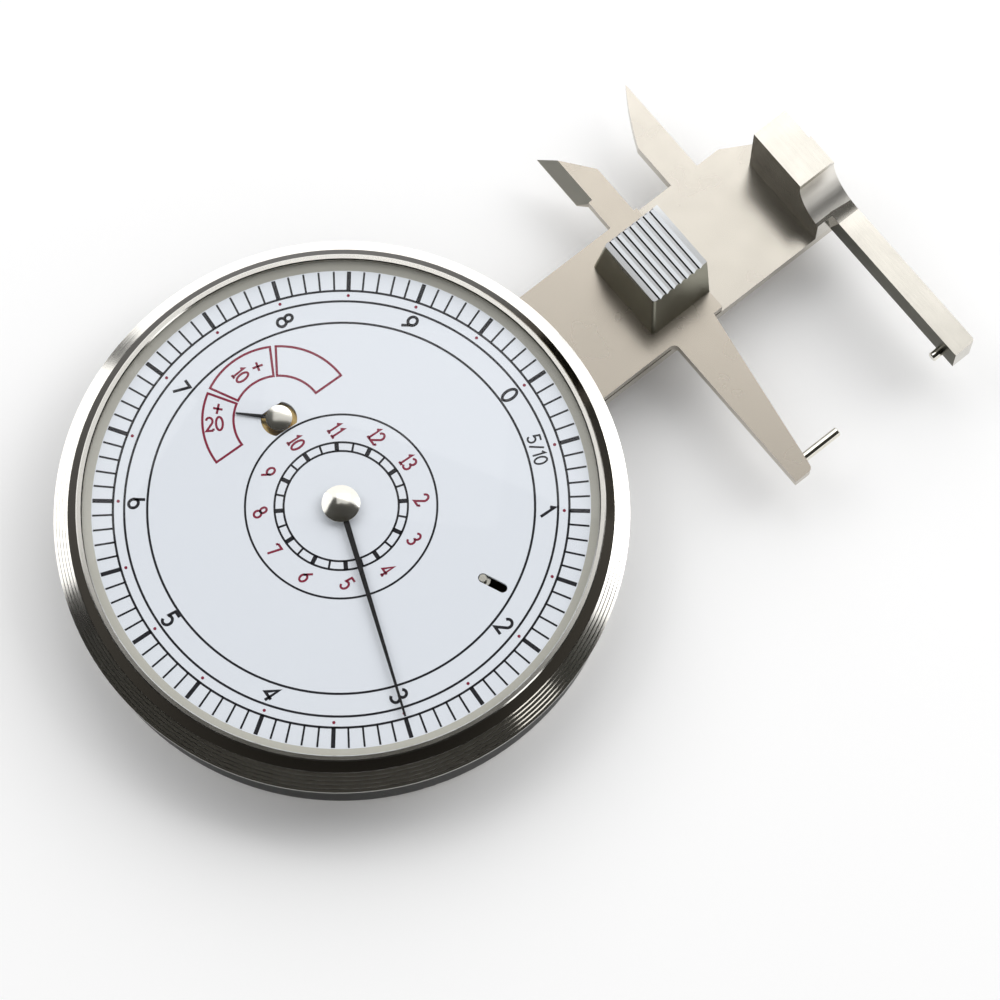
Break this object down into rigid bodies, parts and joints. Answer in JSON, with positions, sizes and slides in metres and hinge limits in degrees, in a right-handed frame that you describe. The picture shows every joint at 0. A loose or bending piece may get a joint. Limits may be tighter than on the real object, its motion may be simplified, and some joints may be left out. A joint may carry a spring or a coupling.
{
  "type": "gemstone lever gauge",
  "caption": "Dial gauge for gemstones: a round case drives its hands from a sliding jaw on a flat beam, which carries a fixed jaw, inside prongs and facing pins.",
  "frame": {"origin": "centre of the flat back of the round case", "axes": "+X along the beam towards the jaws, +Y towards the two prongs, +Z out of the dial"},
  "size_m": [0.0934, 0.06, 0.0138],
  "materials": {
    "case_nickel": "polished nickel plate with a finely turned band",
    "jaw_steel": "satin nickel-plated steel",
    "pin_steel": "polished steel",
    "screw_steel": "bright steel",
    "movement_brass": "fine-turned brass",
    "bush_bronze": "bronze",
    "arbor_steel": "ground steel",
    "spring_steel": "blued spring steel",
    "dial_paint": "pale blue-white enamel with printed scales",
    "ring_cream": "cream satin",
    "crystal_clear": "clear polished",
    "hand_black": "black",
    "hub_nickel": "polished nickel"
  },
  "bodies": {
    "frame": {"case_body": "case_nickel", "back_cover": "case_nickel", "back_cover_screws": "screw_steel", "bezel": "case_nickel", "bezel_snap_ring": "screw_steel", "crystal": "crystal_clear", "dial_ring": "ring_cream", "dial_plate": "dial_paint", "dial_locating_pin": "pin_steel", "movement_plate": "movement_brass", "beam": "jaw_steel", "beam_screws": "screw_steel", "bridge_pillars": "screw_steel", "bridge": "movement_brass", "bridge_screws": "screw_steel", "lower_bushes": "bush_bronze", "upper_bushes": "bush_bronze", "slide_guides": "movement_brass", "slide_guide_screws": "screw_steel", "friction_spring": "spring_steel", "fixed_jaw": "jaw_steel", "fixed_jaw_screws": "screw_steel", "fixed_pin": "pin_steel", "hairspring": "spring_steel", "hairspring_stud": "screw_steel"},
    "slide": {"slide_plate": "jaw_steel", "slide_pin": "pin_steel", "rack": "movement_brass", "rack_screws": "screw_steel", "thumb_block": "jaw_steel", "thumb_block_screws": "screw_steel"},
    "main_pointer": {"centre_arbor": "arbor_steel", "rack_pinion": "arbor_steel", "counter_pinion": "arbor_steel", "main_hand": "hand_black", "main_hub": "hub_nickel"},
    "counter_pointer": {"counter_arbor": "arbor_steel", "counter_wheel": "movement_brass", "counter_hand": "hand_black", "counter_hub": "hub_nickel", "hairspring_collet": "movement_brass"}
  },
  "joints": [
    {"name": "jaw_slide", "type": "slide", "parent": "frame", "child": "slide", "axis": [-1, 0, 0], "range_m": [-0.01298, 0.0075]},
    {"name": "main_pointer_turn", "type": "hinge", "parent": "frame", "child": "main_pointer", "pos_m": [0, 0, 0.009], "axis": [0, 0, 1], "range_deg": [-271, 469]},
    {"name": "counter_pointer_turn", "type": "hinge", "parent": "frame", "child": "counter_pointer", "pos_m": [0.00085, 0.01152, 0.009], "axis": [0, 0, 1], "range_deg": [-79, 46]}
  ],
  "couplings": [
    {"joint": "main_pointer_turn", "follows": "jaw_slide", "rad_per_m": -628.32},
    {"joint": "counter_pointer_turn", "follows": "jaw_slide", "rad_per_m": 104.72}
  ]
}
